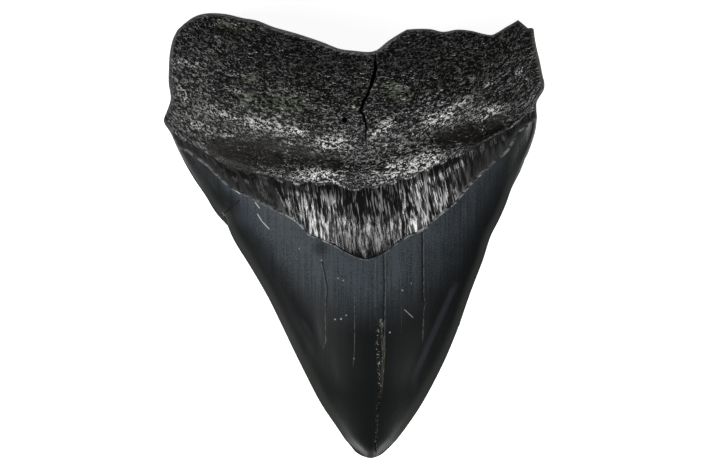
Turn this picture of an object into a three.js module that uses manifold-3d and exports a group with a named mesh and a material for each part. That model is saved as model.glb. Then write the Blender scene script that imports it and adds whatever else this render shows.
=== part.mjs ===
// A fossil megalodon tooth in millimetres, lying on its flatter outer face with +Z up.
// The crown points to -Y, the root lies to +Y, and the side that faced the tongue is on top.
// It is one natural piece, so it is one closed body, made of two faces that meet in the outline.

import * as THREE from "three";
import { mergeVertices } from "three/addons/utils/BufferGeometryUtils.js";
import Module from "manifold-3d";

const manifold = await Module();
manifold.setup();

// How finely the upper face is divided. The underside has every second line of it.
const COLUMNS = 68;
const CROWN_ROWS = 22;
const BOURLETTE_ROWS = 8;
const ROOT_ROWS = 22;
const CROWDING = 0.55; // how much the lines crowd towards the ends, 0 to 1

// Relief of the upper face
const ENAMEL_STEP = 0.4; // the enamel's edge above the bourlette
const LEDGE_ROUND = 0.7; // how far back the root's lower lip rounds over
const LEDGE_FADE = 9; // how far back the lip has sunk into the root
const FOLD_HEIGHT = 0.3; // folds of the bourlette
const GROOVE_DEPTH = 0.7; // groove of the bourlette under the lip
const GROOVE_WIDTH = 1.7;
const MARGIN_DEPTH = 0.5; // shallow channel inside the cutting edges
const MARGIN_INSET = 4.5;
const MARGIN_HALF_WIDTH = 2.6;
const ROOT_LUMPS = 0.3; // uneven bone surface
const ROOT_LUMP_SIZE = 5.5;

// Rounding of the outline
const CUTTING_EDGE_ROUND = 1.3;
const LOBE_ROUND = 2;
const BROKEN_EDGE_ROUND = 1.3; // the right side and right top of the root are broken off

// Underside
const FLAT_CUT = 0.35; // what the flat resting spot takes off the lowest part
const OUTER_ENAMEL_STEP = 0.3;

// Cracks and holes
const ROOT_CRACK_DEPTH = 5;
const TIP_CRACK_DEPTH = 0.9;
const FORAMEN = { x: -2.4, y: 30.8, diameter: 1.5, depth: 5 };
const SIDE_PIT = { x: 14.1, y: 37.5, diameter: 1.1, depth: 1.4 };

// A line made of smooth runs that meet in corners, divided into the given steps for each run.
function dividedLine(runs) {
  const points = [];
  for (const { through, steps, crowding = 0 } of runs) {
    const curve = new THREE.CatmullRomCurve3(
      through.map(([x, y]) => new THREE.Vector3(x, y, 0)),
      false,
      "centripetal",
    );
    for (let i = points.length ? 1 : 0; i <= steps; i++) {
      points.push(curve.getPointAt(crowded(i / steps, crowding)));
    }
  }
  return points;
}

// Even spacing mixed with spacing that crowds towards both ends.
function crowded(t, crowding) {
  return (1 - crowding) * t + crowding * (0.5 - 0.5 * Math.cos(Math.PI * t));
}

// The outline and the two boundaries on the upper face, each from left to right or from the tip up
const tipArc = dividedLine([
  {
    through: [[-2.3, -55.1], [-0.9, -56.7], [0.4, -58.3], [2.3, -59.5], [4.7, -60.1],
      [7.2, -59.3], [8.5, -58.3], [10.1, -56.8], [11.7, -55.1]],
    steps: COLUMNS,
  },
]);
const enamelEdge = dividedLine([
  {
    through: [[-49.5, 28.1], [-47.7, 24.8], [-44.1, 22.4], [-39, 18.6], [-35, 14.6], [-29, 11.1],
      [-19.8, 6.5], [-16.1, 4.6], [-12, 0.5], [-8.8, -0.8], [-1.5, -4.6], [3.4, -6.2],
      [8.5, -4.3], [12, -1.6], [17.4, 1.1], [21.5, 4.3], [27.1, 8.9], [32.5, 15.1],
      [38.7, 20.8], [41.4, 23], [45, 28.6], [47.4, 30.2], [49.5, 31.9]],
    steps: COLUMNS,
    crowding: CROWDING,
  },
]);
const ledge = dividedLine([
  {
    through: [[-50.9, 30], [-46.8, 26.2], [-38.2, 21.3], [-33.9, 18.6], [-26.3, 16.7], [-16.1, 14.4],
      [-6.9, 13.8], [-0.7, 12.6], [7.7, 13.5], [12.8, 15.1], [19.3, 17.6], [26.6, 21.3],
      [32.3, 23.8], [38.2, 27], [43.1, 29.4], [46.3, 32.4], [49.3, 34]],
    steps: COLUMNS,
    crowding: CROWDING,
  },
]);
const rootTop = dividedLine([
  {
    through: [[-47.4, 55.4], [-45, 57.5], [-42.5, 59.1], [-39.3, 59.9], [-34.4, 59.7], [-29.6, 58.6],
      [-25.8, 57.9], [-21.5, 56.2], [-8.5, 52.1], [-3.6, 50.2], [0.1, 49.7], [4.5, 49.4],
      [6.3, 50], [9.3, 52.4], [12.6, 54.5], [14.2, 55.4]],
    steps: 46,
  },
  {
    through: [[14.2, 55.4], [17.4, 55.6], [20.7, 55.5], [23.9, 54.8], [27.7, 55.4], [31.5, 55.1],
      [34.7, 54.3], [36.9, 54], [38.5, 54.7], [40.9, 56.2], [44.1, 58.1]],
    steps: 18,
  },
  { through: [[44.1, 58.1], [45.5, 57], [46.8, 55.9]], steps: 2 },
  { through: [[46.8, 55.9], [47.9, 56], [48.5, 55.5]], steps: 2 },
]);
const crownLeft = dividedLine([
  {
    through: [[-2.3, -55.1], [-4.5, -51.8], [-8.8, -45.4], [-14.4, -34.6], [-19.6, -23.8],
      [-23.9, -15.1], [-28.8, -6.5], [-32.8, 0], [-34.4, 4.1]],
    steps: 14,
  },
  { through: [[-34.4, 4.1], [-35, 5.7], [-36, 5.9]], steps: 2 },
  {
    through: [[-36, 5.9], [-38.5, 8.6], [-41.2, 13], [-44.1, 17.3], [-46.6, 21.6], [-47.9, 24.3],
      [-49.5, 28.1]],
    steps: 6,
  },
]);
const crownRight = dividedLine([
  {
    through: [[11.7, -55.1], [14.2, -51.8], [18.5, -45.4], [24.2, -34.6], [27.9, -25.9],
      [28.6, -24.1]],
    steps: 8,
  },
  {
    through: [[28.6, -24.1], [31.7, -15.1], [35, -6.5], [37.1, 0], [40.1, 6.5], [42.8, 13],
      [45.9, 20]],
    steps: 11,
  },
  { through: [[45.9, 20], [47.7, 23.8], [49, 28.1], [49.5, 31.9]], steps: 3 },
]);
const neckLeft = dividedLine([
  { through: [[-49.5, 28.1], [-50.9, 30]], steps: BOURLETTE_ROWS, crowding: CROWDING },
]);
const neckRight = dividedLine([
  { through: [[49.5, 31.9], [49.3, 34]], steps: BOURLETTE_ROWS, crowding: CROWDING },
]);
const rootLeft = dividedLine([
  {
    through: [[-50.9, 30], [-51.2, 31.3], [-50.1, 34.3], [-49.3, 37], [-49.8, 41], [-49.5, 49.1],
      [-48.7, 52.7], [-47.4, 55.4]],
    steps: ROOT_ROWS,
    crowding: CROWDING,
  },
]);
const rootRight = dividedLine([
  {
    through: [[49.3, 34], [49.8, 37], [51.2, 39.4], [51.4, 41], [50.9, 43.2], [49.3, 50.2],
      [48.5, 55.5]],
    steps: ROOT_ROWS,
    crowding: CROWDING,
  },
]);

// Points of a patch between four lines that meet in its corners, row by row.
function patch(bottom, top, left, right) {
  const rows = left.length - 1;
  const columns = bottom.length - 1;
  return left.map((_, r) => {
    const v = r / rows;
    return bottom.map((_, c) => {
      const u = c / columns;
      const across = left[r].clone().multiplyScalar(1 - u).addScaledVector(right[r], u);
      const upward = bottom[c].clone().multiplyScalar(1 - rise(v)).addScaledVector(top[c], rise(v));
      const corners = bottom[0].clone().multiplyScalar((1 - u) * (1 - rise(v)));
      corners.addScaledVector(bottom[columns], u * (1 - rise(v)));
      corners.addScaledVector(top[0], (1 - u) * rise(v));
      corners.addScaledVector(top[columns], u * rise(v));
      return across.add(upward).sub(corners);
    });
    function rise(t) {
      const along = left[r].distanceTo(left[0]) / left[rows].distanceTo(left[0]);
      return t === 0 || t === 1 ? t : THREE.MathUtils.clamp(along, 0, 1);
    }
  });
}

// The plan of the whole face: crown, bourlette and root share the rows where they meet.
const crown = patch(tipArc, enamelEdge, crownLeft, crownRight);
const bourlette = patch(enamelEdge, ledge, neckLeft, neckRight);
const root = patch(ledge, rootTop, rootLeft, rootRight);
const plan = [...crown, ...bourlette.slice(1), ...root.slice(1)];
const ROWS = plan.length - 1;
const ENAMEL_ROW = CROWN_ROWS;
const LEDGE_ROW = CROWN_ROWS + BOURLETTE_ROWS;
const outline = [
  ...plan[0],
  ...plan.slice(1).map((row) => row[COLUMNS]),
  ...plan[ROWS].slice(0, -1).reverse(),
  ...plan.slice(1, -1).map((row) => row[0]).reverse(),
];

// Distance from a point to a line of points, joined back to its start if closed.
function distanceTo(line, point, closed) {
  const segment = new THREE.Line3();
  const nearest = new THREE.Vector3();
  let least = Infinity;
  for (let i = closed ? 0 : 1; i < line.length; i++) {
    segment.set(line[i > 0 ? i - 1 : line.length - 1], line[i]);
    segment.closestPointToPoint(point, true, nearest);
    least = Math.min(least, nearest.distanceTo(point));
  }
  return least;
}

// A smooth function through pairs of a position and a value that never overshoots them.
function profile(pairs) {
  const slopes = pairs.slice(1).map(([x, y], i) => (y - pairs[i][1]) / (x - pairs[i][0]));
  const tangents = pairs.map((_, i) => {
    const before = slopes[Math.max(i - 1, 0)];
    const after = slopes[Math.min(i, slopes.length - 1)];
    return before * after <= 0 ? 0 : (2 * before * after) / (before + after);
  });
  return (x) => {
    const held = THREE.MathUtils.clamp(x, pairs[0][0], pairs[pairs.length - 1][0]);
    const i = Math.max(1, pairs.findIndex(([end]) => held <= end));
    const [x0, y0] = pairs[i - 1];
    const [x1, y1] = pairs[i];
    const step = x1 - x0;
    const t = (held - x0) / step;
    const rise = t * t * (3 - 2 * t);
    const start = t * (1 - t) * (1 - t) * step * tangents[i - 1];
    const end = t * t * (t - 1) * step * tangents[i];
    return y0 + (y1 - y0) * rise + start + end;
  };
}

// Heights along the length of the tooth, from the tip at -60 to the root's top at 60
const spine = profile([[-60, 2.6], [-58.5, 3.2], [-52, 4.5], [-40, 6.6], [-25, 9.2], [-7, 12.3],
  [3, 16.6], [12, 18.8], [16.5, 20.5], [20.5, 21.7], [26, 24.4], [30, 25.5], [36, 26], [42, 25.2],
  [48, 22.8], [54, 20], [60, 17.5]]);
const enamelSpine = profile([[-60, 2.6], [-58.5, 3.2], [-52, 4.5], [-40, 6.6], [-25, 9.2], [-7, 12.3],
  [10, 15.2], [30, 18.4], [60, 18.4]]); // what the enamel would keep on doing without the root's bulge
const sideLevel = profile([[-60, 2.6], [12, 3.2], [20, 4.8], [28, 7.8], [36, 11], [44, 13], [50, 14],
  [60, 14]]);
const meetingLevel = profile([[-60, 2.6], [20, 3.2], [32, 6.5], [50, 8], [60, 8]]);
const fullness = profile([[-60, 1.9], [5, 1.9], [30, 2.5], [60, 2.6]]);
const bellyLevel = profile([[-60, 2.4], [-52, 1.4], [-35, 0.6], [-10, 0], [30, 0], [44, 1.2], [60, 3]]);
const bellySide = profile([[-60, 2.6], [15, 3.1], [30, 2.3], [60, 3.6]]);
const leftSide = profile([[-60, 3.4], [-55, -2.3], [-45, -9], [-24, -19.6], [0, -32.8], [17, -44],
  [28, -49.6], [40, -50.6], [60, -50.6]]);
const rightSide = profile([[-60, 6], [-55, 11.8], [-45, 18.7], [-26, 27.9], [0, 37.1], [17, 44.8],
  [31, 49.6], [42, 50.6], [60, 50.6]]);

// Height of the root's lower lip above the bourlette, from left to right
const ledgeHeight = profile([[-50, 0.3], [-42, 0.35], [-22, 0.9], [38, 0.9], [50, 0.5]]);

// Lumps and hollows of the root: centre, half length, half width, lean in degrees, height
const lumps = [
  [-28, 25, 14, 4.6, -14, -1.9], // dark hollow under the left ridge
  [-30, 18.6, 11, 4.2, -20, 0.8], // left end of the lip
  [-41, 34, 3.5, 2, -40, 0.5], // ridge on the left bulge
  [-24, 33, 8, 2.6, -8, 0.5], // its run towards the middle
  [-10, 17.9, 7, 2.4, -4, 0.5], // swell of the lip, left of the middle
  [31, 29.2, 13, 4.2, 14, -1.9], // dark trough on the right
  [37.3, 34.4, 4.6, 2.2, 25, 0.6], // ridge on the right bulge
  [30.6, 38.2, 2.8, 1.2, 62, 0.6],
  [14, 21, 10, 3, 12, 0.8], // swell of the lip, right of the middle
  [5.8, 28.4, 2.4, 3.2, 20, 0.4],
  [12, 38.8, 5.4, 1.3, 8, -0.6], // groove at the small pit
  [-21, 37.5, 9.5, 2, -4, -0.5], // hollow that holds sediment
  [-31, 43, 4.6, 1.6, -3, -0.5],
  [-36.5, 45.4, 3.4, 2.4, -40, 0.5],
  [-45.5, 46.6, 2.6, 3.2, 0, 0.5],
  [25, 42.8, 8.5, 2, 12, -0.5],
  [-33, 55.6, 6, 1.6, -8, -0.7], // scoop near the top of the left lobe
  [40, 45.4, 3.4, 4, 0, 0.5],
  [8.4, 47.4, 1.9, 2.6, 30, -0.7], // facet beside the crack
  [24, 50.4, 6, 2.2, 0, 0.4],
  [43.5, 53.6, 2.6, 2.2, 40, 0.6],
];

function lumpHeight(x, y) {
  return lumps.reduce((sum, [cx, cy, halfLength, halfWidth, lean, height]) => {
    const angle = THREE.MathUtils.degToRad(lean);
    const along = (x - cx) * Math.cos(angle) + (y - cy) * Math.sin(angle);
    const across = (y - cy) * Math.cos(angle) - (x - cx) * Math.sin(angle);
    return sum + height * Math.exp(-((along / halfLength) ** 2) - (across / halfWidth) ** 2);
  }, 0);
}

// Evenly scattered values between -1 and 1, smooth between whole positions.
function unevenness(x, y) {
  const scattered = (i, j) => {
    const wave = Math.sin(i * 127.1 + j * 311.7) * 43758.5453;
    return 2 * (wave - Math.floor(wave)) - 1;
  };
  const i = Math.floor(x);
  const j = Math.floor(y);
  const u = THREE.MathUtils.smoothstep(x - i, 0, 1);
  const v = THREE.MathUtils.smoothstep(y - j, 0, 1);
  const near = THREE.MathUtils.lerp(scattered(i, j), scattered(i + 1, j), u);
  const far = THREE.MathUtils.lerp(scattered(i, j + 1), scattered(i + 1, j + 1), u);
  return THREE.MathUtils.lerp(near, far, v);
}

// How far round the edge has turned: 0 in the outline and 1 where the face begins.
function edgeTurn(distance, radius) {
  const left = 1 - Math.min(distance / radius, 1);
  return Math.cbrt(1 - left ** 3);
}

// Where a point lies across the tooth: 0 in the middle and 1 at the sides.
function acrossShare({ x, y }) {
  const middle = (leftSide(y) + rightSide(y)) / 2;
  const half = (rightSide(y) - leftSide(y)) / 2;
  return Math.min(Math.abs(x - middle) / half, 1);
}

function edgeRadius({ x, y }) {
  const { lerp, smoothstep } = THREE.MathUtils;
  const broken = Math.max(
    smoothstep(x, 7, 15) * smoothstep(y, 46, 50),
    smoothstep(x, 42, 46),
  );
  const bone = lerp(LOBE_ROUND, BROKEN_EDGE_ROUND, broken);
  return lerp(CUTTING_EDGE_ROUND, bone, smoothstep(y, 26, 36));
}

function upperHeight(row, column) {
  const { smoothstep } = THREE.MathUtils;
  const point = plan[row][column];
  const { x, y } = point;
  const edge = distanceTo(outline, point, true);
  const inside = smoothstep(edge, 0, 3);
  const side = sideLevel(y);
  const share = THREE.MathUtils.clamp((row - ENAMEL_ROW) / BOURLETTE_ROWS, 0, 1);
  const crest = THREE.MathUtils.lerp(enamelSpine(y), spine(y), 1 - (1 - share) ** 3);
  let height = side + (crest - side) * (1 - acrossShare(point) ** fullness(y));
  if (row <= ENAMEL_ROW) {
    const channel = (edge - MARGIN_INSET) / MARGIN_HALF_WIDTH;
    height -= MARGIN_DEPTH * Math.exp(-channel * channel) * smoothstep(y, -45, -25);
  } else if (row <= LEDGE_ROW) {
    const fold = (column % 2 ? 1 : -1) * (0.6 + 0.8 * unevenness(column * 0.7, 3.5) ** 2);
    const groove = distanceTo(ledge, point, false) / GROOVE_WIDTH;
    height -= ENAMEL_STEP * inside + GROOVE_DEPTH * Math.exp(-groove * groove) * smoothstep(edge, 1, 6);
    height += FOLD_HEIGHT * fold * Math.sin(Math.PI * share) * smoothstep(edge, 3, 12);
  } else {
    const back = distanceTo(ledge, point, false);
    const lip = edgeTurn(back, LEDGE_ROUND) * (1 - 0.75 * smoothstep(back, LEDGE_ROUND, LEDGE_FADE));
    const bone = unevenness(x / ROOT_LUMP_SIZE, y / ROOT_LUMP_SIZE)
      + 0.6 * unevenness(x / (ROOT_LUMP_SIZE * 0.45) + 40, y / (ROOT_LUMP_SIZE * 0.45));
    height += (ledgeHeight(x) * lip - ENAMEL_STEP * (1 - lip)) * inside;
    height += (lumpHeight(x, y) + ROOT_LUMPS * bone) * inside * smoothstep(back, 0, 2);
  }
  const meeting = meetingLevel(y);
  return meeting + (height - meeting) * edgeTurn(edge, edgeRadius(point));
}

// The enamel of the outer face ends in a shallow curve, nearer the root than on the upper face.
const outerEnamelEnd = profile([[-49.5, 28.1], [-30, 23.2], [3.4, 19.7], [30, 23.4], [49.5, 31.9]]);

function lowerHeight(row, column) {
  const { smoothstep } = THREE.MathUtils;
  const point = plan[row][column];
  const { x, y } = point;
  const belly = bellyLevel(y);
  let height = belly + (bellySide(y) - belly) * acrossShare(point) ** 2.2;
  height += OUTER_ENAMEL_STEP * smoothstep(y - outerEnamelEnd(x), 0, 2.5);
  height += ROOT_LUMPS * 0.7 * unevenness(x / 6 + 9, y / 6) * smoothstep(y, 26, 34);
  const meeting = meetingLevel(y);
  const edge = distanceTo(outline, point, true);
  const round = meeting - (meeting - height) * edgeTurn(edge, edgeRadius(point));
  return Math.max(0, round - FLAT_CUT);
}

// The closed body: the whole grid above, every second line of it below, sharing the outline
function toothBody() {
  const positions = [];
  const faces = [];
  const upper = plan.map((row, r) =>
    row.map(({ x, y }, c) => positions.push(x, y, upperHeight(r, c)) / 3 - 1));
  const inOutline = (r, c) => r === 0 || r === ROWS || c === 0 || c === COLUMNS;
  const lower = plan.map((row, r) =>
    row.map(({ x, y }, c) => {
      if (inOutline(r, c)) return upper[r][c];
      return r % 2 || c % 2 ? -1 : positions.push(x, y, lowerHeight(r, c)) / 3 - 1;
    }));
  for (let r = 0; r < ROWS; r++) {
    for (let c = 0; c < COLUMNS; c++) {
      const [a, b, d, e] = [upper[r][c], upper[r][c + 1], upper[r + 1][c + 1], upper[r + 1][c]];
      if (c < COLUMNS / 2) faces.push(a, b, d, a, d, e);
      else faces.push(a, b, e, b, d, e);
    }
  }
  for (let r = 0; r < ROWS; r += 2) {
    for (let c = 0; c < COLUMNS; c += 2) {
      const ring = [[r, c], [r + 1, c], [r + 2, c], [r + 2, c + 1], [r + 2, c + 2], [r + 1, c + 2],
        [r, c + 2], [r, c + 1]].filter(([i, j]) => (i % 2 === 0 && j % 2 === 0) || inOutline(i, j));
      const start = Math.max(0, ring.findIndex(([i, j]) => i % 2 || j % 2));
      const turned = [...ring.slice(start), ...ring.slice(0, start)].map(([i, j]) => lower[i][j]);
      for (let k = 1; k < turned.length - 1; k++) {
        faces.push(turned[0], turned[k], turned[k + 1]);
      }
    }
  }
  return solid(positions, faces);
}

function solid(positions, faces) {
  const mesh = new manifold.Mesh({
    numProp: 3,
    vertProperties: new Float32Array(positions),
    triVerts: new Uint32Array(faces),
  });
  return new manifold.Manifold(mesh);
}

// Height of the upper face at any place, from the nearest place of the plan.
function surfaceAt(x, y) {
  const point = new THREE.Vector3(x, y, 0);
  let best = { gap: Infinity };
  plan.forEach((row, r) => row.forEach((place, c) => {
    const gap = place.distanceTo(point);
    if (gap < best.gap) best = { gap, r, c };
  }));
  return upperHeight(best.r, best.c);
}

// A wedge that follows a crack: each place has x, y and the width of the opening.
function crackWedge(places, depth) {
  const above = 3;
  const positions = [];
  const faces = [];
  places.forEach(([x, y, width], i) => {
    const [x0, y0] = places[Math.max(i - 1, 0)];
    const [x1, y1] = places[Math.min(i + 1, places.length - 1)];
    const run = Math.hypot(x1 - x0, y1 - y0);
    const half = (width / 2) * ((depth + above) / depth);
    const [sideX, sideY] = [(-(y1 - y0) / run) * half, ((x1 - x0) / run) * half];
    const surface = surfaceAt(x, y);
    positions.push(x + sideX, y + sideY, surface + above);
    positions.push(x - sideX, y - sideY, surface + above);
    positions.push(x, y, surface - depth);
  });
  const last = 3 * (places.length - 1);
  for (let i = 0; i < last; i += 3) {
    for (const [a, b] of [[0, 1], [1, 2], [2, 0]]) {
      faces.push(i + a, i + b, i + 3 + a, i + b, i + 3 + b, i + 3 + a);
    }
  }
  faces.push(0, 2, 1, last, last + 1, last + 2);
  const wedge = solid(positions, faces);
  return wedge.volume() > 0 ? wedge : solid(positions, faces.reverse());
}

// A round hole that narrows downwards from the upper face.
function hole({ x, y, diameter, depth }) {
  const above = 3;
  const cone = new THREE.CylinderGeometry(diameter / 2, diameter / 3, depth + above, 12);
  cone.rotateX(Math.PI / 2).translate(x, y, surfaceAt(x, y) + (above - depth) / 2);
  cone.deleteAttribute("normal");
  cone.deleteAttribute("uv");
  const merged = mergeVertices(cone, 1e-4);
  return solid(merged.attributes.position.array, merged.index.array);
}

const rootCrack = crackWedge([[6.6, 51.5, 0.3], [6.1, 49.4, 0.3], [5.7, 47, 0.3], [5.8, 44.6, 0.5],
  [5.5, 43.2, 1], [4.7, 40.2, 1], [4, 38.3, 0.8], [3.4, 37, 0.5], [2.6, 35.6, 0.8], [1.8, 33.1, 0.8],
  [2.4, 32.5, 0.5], [3.3, 29.4, 0.5], [3.1, 27.3, 0.3], [3.4, 24.8, 0.1]], ROOT_CRACK_DEPTH);
const tipCrack = crackWedge([[7.4, -23.2, 0.3], [7.6, -25.4, 0.7], [7.6, -28.9, 0.9], [7.8, -32.4, 0.9],
  [7.7, -35.4, 0.85], [7.5, -38.1, 0.8], [7.3, -41.9, 0.7], [7, -43.9, 0.6], [6.6, -45.9, 0.5],
  [6.35, -48.9, 0.5], [6.25, -52.1, 0.5], [6.2, -53.6, 0.45], [5.9, -55.6, 0.4], [6, -57.8, 0.1]],
TIP_CRACK_DEPTH);

let body = toothBody();
for (const cut of [rootCrack, tipCrack, hole(FORAMEN), hole(SIDE_PIT)]) {
  body = body.subtract(cut);
}

// The mesh, moved so that the origin is the middle of the footprint on the resting plane
const made = body.getMesh();
const geometry = new THREE.BufferGeometry();
geometry.setAttribute("position", new THREE.BufferAttribute(made.vertProperties, 3));
geometry.setIndex(new THREE.BufferAttribute(made.triVerts, 1));
geometry.computeBoundingBox();
const { min, max } = geometry.boundingBox;
geometry.translate(-(min.x + max.x) / 2, -(min.y + max.y) / 2, -min.z);
geometry.computeVertexNormals();

const fossil = new THREE.MeshStandardMaterial({ color: 0x17191b, roughness: 0.35, metalness: 0 });
const tooth = new THREE.Mesh(geometry, fossil);
tooth.name = "tooth";

const part = new THREE.Group();
part.add(tooth);
export default part;
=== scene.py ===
import math

import bpy
import numpy as np
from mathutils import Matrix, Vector


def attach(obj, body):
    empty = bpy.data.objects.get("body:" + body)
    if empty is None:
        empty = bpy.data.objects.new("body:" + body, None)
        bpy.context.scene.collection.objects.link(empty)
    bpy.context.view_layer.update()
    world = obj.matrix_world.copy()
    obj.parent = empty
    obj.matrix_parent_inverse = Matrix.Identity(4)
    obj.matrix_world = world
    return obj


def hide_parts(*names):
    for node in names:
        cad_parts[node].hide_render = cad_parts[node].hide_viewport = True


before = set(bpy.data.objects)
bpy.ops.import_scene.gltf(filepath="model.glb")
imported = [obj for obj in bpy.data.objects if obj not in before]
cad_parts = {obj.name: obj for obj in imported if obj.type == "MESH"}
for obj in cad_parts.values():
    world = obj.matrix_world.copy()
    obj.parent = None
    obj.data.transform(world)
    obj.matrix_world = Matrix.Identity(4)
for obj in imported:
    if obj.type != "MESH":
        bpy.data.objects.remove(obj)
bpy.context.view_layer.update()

# The tooth's outline, seen from above as it lies on its outer face, in millimetres, tip towards -Y.
# The tip and cutting edges are enamel; the root's left lobe is whole, and its right lobe is
# broken off, so that line has corners. Two more lines bound the bourlette on the upper face.
COLUMNS = 308
CROWN_ROWS = 96
BOURLETTE_ROWS = 36
ROOT_ROWS = 108
ROWS = CROWN_ROWS + BOURLETTE_ROWS + ROOT_ROWS
ENAMEL_ROW = CROWN_ROWS
LEDGE_ROW = CROWN_ROWS + BOURLETTE_ROWS
CROWDING = 0.55


def crowded(t, crowding):
    """Even spacing mixed with spacing that crowds towards both ends."""
    return (1 - crowding) * t + crowding * (0.5 - 0.5 * np.cos(np.pi * t))


def smooth_run(through, steps, crowding=0.0):
    """Points along a smooth line through the given ones, spaced by length."""
    p = np.array(through, float)
    p = np.vstack([2 * p[0] - p[1], p, 2 * p[-1] - p[-2]])
    knots = np.concatenate([[0], np.cumsum(np.linalg.norm(np.diff(p, axis=0), axis=1) ** 0.5)])
    fine = []
    for i in range(1, len(p) - 2):
        a, b, c, d = p[i - 1 : i + 3]
        ta, tb, tc, td = knots[i - 1 : i + 3]
        t = np.linspace(tb, tc, 40, endpoint=False)[:, None]
        ab = (tb - t) / (tb - ta) * a + (t - ta) / (tb - ta) * b
        bc = (tc - t) / (tc - tb) * b + (t - tb) / (tc - tb) * c
        cd = (td - t) / (td - tc) * c + (t - tc) / (td - tc) * d
        abc = (tc - t) / (tc - ta) * ab + (t - ta) / (tc - ta) * bc
        bcd = (td - t) / (td - tb) * bc + (t - tb) / (td - tb) * cd
        fine.append((tc - t) / (tc - tb) * abc + (t - tb) / (tc - tb) * bcd)
    fine = np.vstack([*fine, p[-2]])
    length = np.concatenate([[0], np.cumsum(np.linalg.norm(np.diff(fine, axis=0), axis=1))])
    at = crowded(np.linspace(0, 1, steps + 1), crowding) * length[-1]
    return np.column_stack([np.interp(at, length, fine[:, k]) for k in (0, 1)])


def joined(*runs):
    """Runs that share their end points, as one line."""
    return np.vstack([runs[0], *[run[1:] for run in runs[1:]]])


tip_arc = smooth_run(
    [(-2.3, -55.1), (-0.9, -56.7), (0.4, -58.3), (2.3, -59.5), (4.7, -60.1), (7.2, -59.3),
     (8.5, -58.3), (10.1, -56.8), (11.7, -55.1)], COLUMNS)
enamel_edge = smooth_run(
    [(-49.5, 28.1), (-47.7, 24.8), (-44.1, 22.4), (-39, 18.6), (-35, 14.6), (-32, 12.4), (-29, 11.1),
     (-24.7, 8.9), (-19.8, 6.5), (-16.1, 4.6), (-13.9, 2.7), (-12, 0.5), (-8.8, -0.8),
     (-5.3, -2.4), (-1.5, -4.6), (3.4, -6.2), (8.5, -4.3), (12, -1.6), (15.5, 0.5), (17.4, 1.1),
     (19.6, 2.4), (21.5, 4.3), (24.4, 6.8), (27.1, 8.9), (30.1, 12.4), (32.5, 15.1), (35.5, 17.8),
     (38.7, 20.8), (41.4, 23), (43.1, 25.9), (45, 28.6), (47.4, 30.2), (49.5, 31.9)],
    COLUMNS, CROWDING)
ledge = smooth_run(
    [(-50.9, 30), (-46.8, 26.2), (-42.5, 24), (-38.2, 21.3), (-33.9, 18.6), (-30.6, 17.6),
     (-26.3, 16.7), (-21.5, 15.7), (-16.1, 14.4), (-11.7, 14.2), (-6.9, 13.8), (-3.6, 13.5),
     (-0.7, 12.6), (2.6, 12.7), (7.7, 13.5), (12.8, 15.1), (19.3, 17.6), (26.6, 21.3),
     (32.3, 23.8), (38.2, 27), (43.1, 29.4), (46.3, 32.4), (49.3, 34)], COLUMNS, CROWDING)
root_top = joined(
    smooth_run(
        [(-47.4, 55.4), (-45, 57.5), (-42.5, 59.1), (-39.3, 59.9), (-34.4, 59.7), (-29.6, 58.6),
         (-25.8, 57.9), (-21.5, 56.2), (-15, 54.3), (-8.5, 52.1), (-3.6, 50.2), (0.1, 49.7),
         (4.5, 49.4), (6.3, 50), (9.3, 52.4), (12.6, 54.5), (14.2, 55.4)], 206),
    smooth_run(
        [(14.2, 55.4), (17.4, 55.6), (20.7, 55.5), (23.9, 54.8), (27.7, 55.4), (31.5, 55.1),
         (34.7, 54.3), (36.9, 54), (38.5, 54.7), (40.9, 56.2), (42.5, 57.1), (44.1, 58.1)], 84),
    smooth_run([(44.1, 58.1), (45.5, 57), (46.8, 55.9)], 10),
    smooth_run([(46.8, 55.9), (47.9, 56), (48.5, 55.5)], 8))
crown_left = joined(
    smooth_run(
        [(-2.3, -55.1), (-4.5, -51.8), (-8.8, -45.4), (-14.4, -34.6), (-19.6, -23.8),
         (-23.9, -15.1), (-28.8, -6.5), (-32.8, 0), (-33.9, 2.2), (-34.4, 4.1)], 62),
    smooth_run([(-34.4, 4.1), (-35, 5.7), (-36, 5.9)], 6),
    smooth_run(
        [(-36, 5.9), (-38.5, 8.6), (-41.2, 13), (-44.1, 17.3), (-46.6, 21.6), (-47.9, 24.3),
         (-49.5, 28.1)], 28))
crown_right = joined(
    smooth_run(
        [(11.7, -55.1), (14.2, -51.8), (18.5, -45.4), (24.2, -34.6), (27.9, -25.9), (28.4, -24.5)],
        32),
    smooth_run([(28.4, -24.5), (28.7, -24), (28.9, -23.2)], 4),
    smooth_run(
        [(28.9, -23.2), (31.7, -15.1), (35, -6.5), (37.1, 0), (39.3, 4.3), (41.2, 8.6),
         (42.8, 13), (45, 17.3), (46.1, 20)], 46),
    smooth_run([(46.1, 20), (46.1, 20.5), (46.8, 21.6), (47.7, 23.8), (49, 28.1), (49.5, 31.9)], 14))
neck_left = smooth_run([(-49.5, 28.1), (-50.9, 30)], BOURLETTE_ROWS, CROWDING)
neck_right = smooth_run([(49.5, 31.9), (49.3, 34)], BOURLETTE_ROWS, CROWDING)
root_left = smooth_run(
    [(-50.9, 30), (-51.2, 31.3), (-50.1, 34.3), (-49.3, 37), (-49.8, 41), (-49.8, 44.8),
     (-49.5, 49.1), (-48.7, 52.7), (-47.4, 55.4)], ROOT_ROWS, CROWDING)
root_right = smooth_run(
    [(49.3, 34), (49.3, 35.9), (49.8, 37), (51.2, 39.4), (51.4, 41), (50.9, 43.2), (50.1, 47),
     (49.3, 50.2), (48.7, 53.5), (48.5, 55.5)], ROOT_ROWS, CROWDING)


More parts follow.
